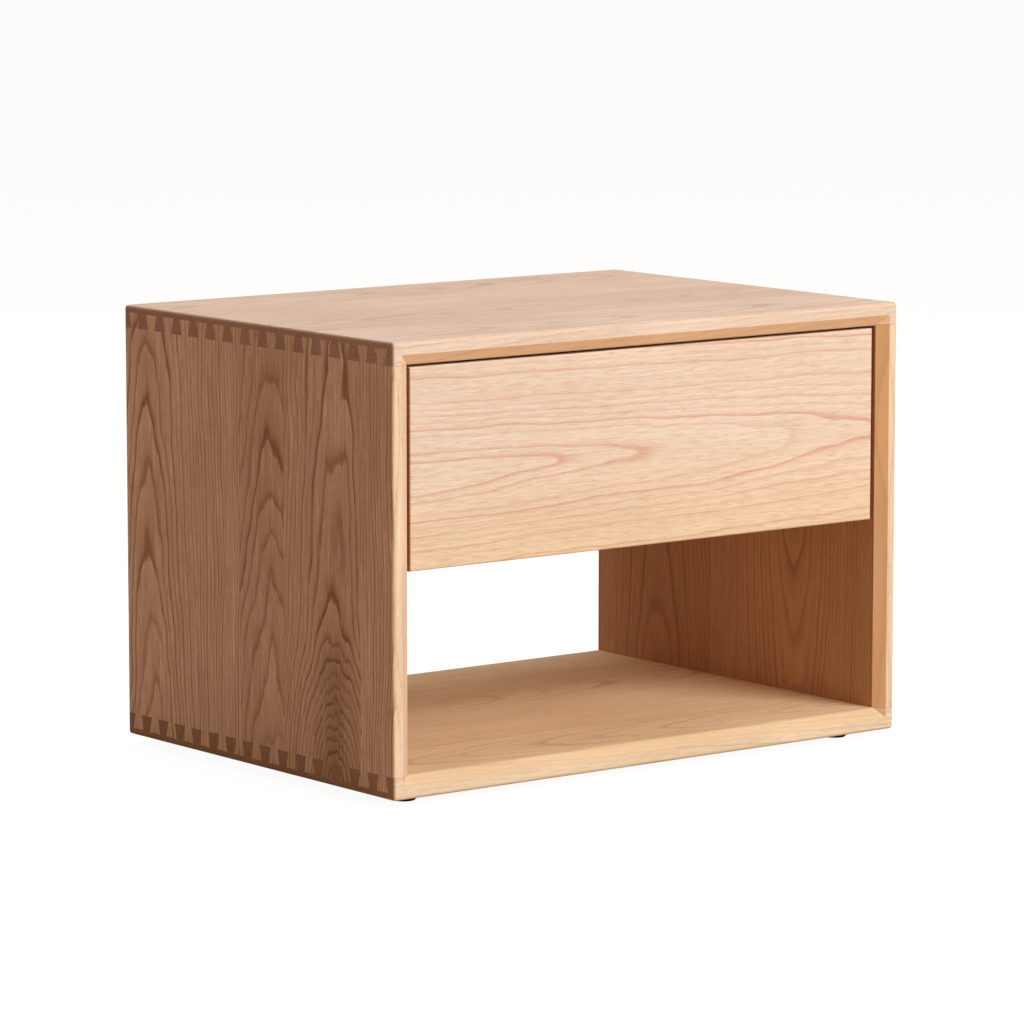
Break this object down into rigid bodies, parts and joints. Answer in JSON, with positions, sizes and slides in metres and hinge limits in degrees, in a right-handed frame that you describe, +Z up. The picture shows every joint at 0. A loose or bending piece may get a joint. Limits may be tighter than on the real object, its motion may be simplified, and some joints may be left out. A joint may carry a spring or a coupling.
{
  "type": "nightstand",
  "caption": "Low wide dovetailed wooden nightstand with a bevelled front frame, an inset handle-less drawer on ball-bearing slides, and an open shelf below.",
  "frame": {"origin": "on the floor under the middle of the carcass, drawer closed", "axes": "+X to the right across the width as seen from the front, +Y to the back (the front faces -Y), +Z up"},
  "size_m": [0.55, 0.395, 0.388],
  "materials": {
    "carcass_oak": "clear matt oil on solid oak",
    "drawer_front_oak": "clear matt oil on solid oak, grain along the width",
    "inner_oak": "matt oak veneer",
    "drawer_box_oak": "clear matt oil",
    "drawer_bottom_plywood": "matt veneer",
    "slide_steel": "bright zinc plate",
    "cage_plastic": "moulded nylon",
    "ball_steel": "polished",
    "screw_steel": "yellowish zinc plate",
    "foot_plastic": "dark brown, matt",
    "felt": "dark brown pressed felt"
  },
  "bodies": {
    "root": {"top_panel": "carcass_oak", "bottom_panel": "carcass_oak", "left_side_panel": "carcass_oak", "right_side_panel": "carcass_oak", "divider_panel": "inner_oak", "back_panel": "inner_oak", "back_panel_screws": "screw_steel", "front_left_foot_cup": "foot_plastic", "front_right_foot_cup": "foot_plastic", "back_left_foot_cup": "foot_plastic", "back_right_foot_cup": "foot_plastic", "front_left_felt_pad": "felt", "front_right_felt_pad": "felt", "back_left_felt_pad": "felt", "back_right_felt_pad": "felt", "foot_screws": "screw_steel", "left_slide_cabinet_member": "slide_steel", "right_slide_cabinet_member": "slide_steel", "slide_cabinet_screws": "screw_steel"},
    "drawer": {"drawer_front": "drawer_front_oak", "drawer_box_front": "drawer_box_oak", "drawer_left_side": "drawer_box_oak", "drawer_right_side": "drawer_box_oak", "drawer_back": "drawer_box_oak", "drawer_bottom": "drawer_bottom_plywood", "drawer_front_screws": "screw_steel", "drawer_bottom_screws": "screw_steel", "left_slide_drawer_member": "slide_steel", "right_slide_drawer_member": "slide_steel", "slide_drawer_screws": "screw_steel"},
    "left_slide_middle": {"left_slide_middle_member": "slide_steel"},
    "left_slide_outer_bearing": {"left_slide_outer_cage": "cage_plastic", "left_slide_outer_balls": "ball_steel"},
    "left_slide_inner_bearing": {"left_slide_inner_cage": "cage_plastic", "left_slide_inner_balls": "ball_steel"},
    "right_slide_middle": {"right_slide_middle_member": "slide_steel"},
    "right_slide_outer_bearing": {"right_slide_outer_cage": "cage_plastic", "right_slide_outer_balls": "ball_steel"},
    "right_slide_inner_bearing": {"right_slide_inner_cage": "cage_plastic", "right_slide_inner_balls": "ball_steel"}
  },
  "joints": [
    {"name": "drawer_slide", "type": "slide", "parent": "root", "child": "drawer", "axis": [0, -1, 0], "range_m": [0, 0.3]},
    {"name": "left_slide_middle_travel", "type": "slide", "parent": "root", "child": "left_slide_middle", "axis": [0, -1, 0], "range_m": [0, 0.15]},
    {"name": "left_slide_outer_bearing_travel", "type": "slide", "parent": "root", "child": "left_slide_outer_bearing", "axis": [0, -1, 0], "range_m": [0, 0.075]},
    {"name": "left_slide_inner_bearing_travel", "type": "slide", "parent": "root", "child": "left_slide_inner_bearing", "axis": [0, -1, 0], "range_m": [0, 0.225]},
    {"name": "right_slide_middle_travel", "type": "slide", "parent": "root", "child": "right_slide_middle", "axis": [0, -1, 0], "range_m": [0, 0.15]},
    {"name": "right_slide_outer_bearing_travel", "type": "slide", "parent": "root", "child": "right_slide_outer_bearing", "axis": [0, -1, 0], "range_m": [0, 0.075]},
    {"name": "right_slide_inner_bearing_travel", "type": "slide", "parent": "root", "child": "right_slide_inner_bearing", "axis": [0, -1, 0], "range_m": [0, 0.225]}
  ],
  "couplings": [
    {"joint": "left_slide_middle_travel", "follows": "drawer_slide", "ratio": 0.5},
    {"joint": "left_slide_outer_bearing_travel", "follows": "drawer_slide", "ratio": 0.25},
    {"joint": "left_slide_inner_bearing_travel", "follows": "drawer_slide", "ratio": 0.75},
    {"joint": "right_slide_middle_travel", "follows": "drawer_slide", "ratio": 0.5},
    {"joint": "right_slide_outer_bearing_travel", "follows": "drawer_slide", "ratio": 0.25},
    {"joint": "right_slide_inner_bearing_travel", "follows": "drawer_slide", "ratio": 0.75}
  ]
}
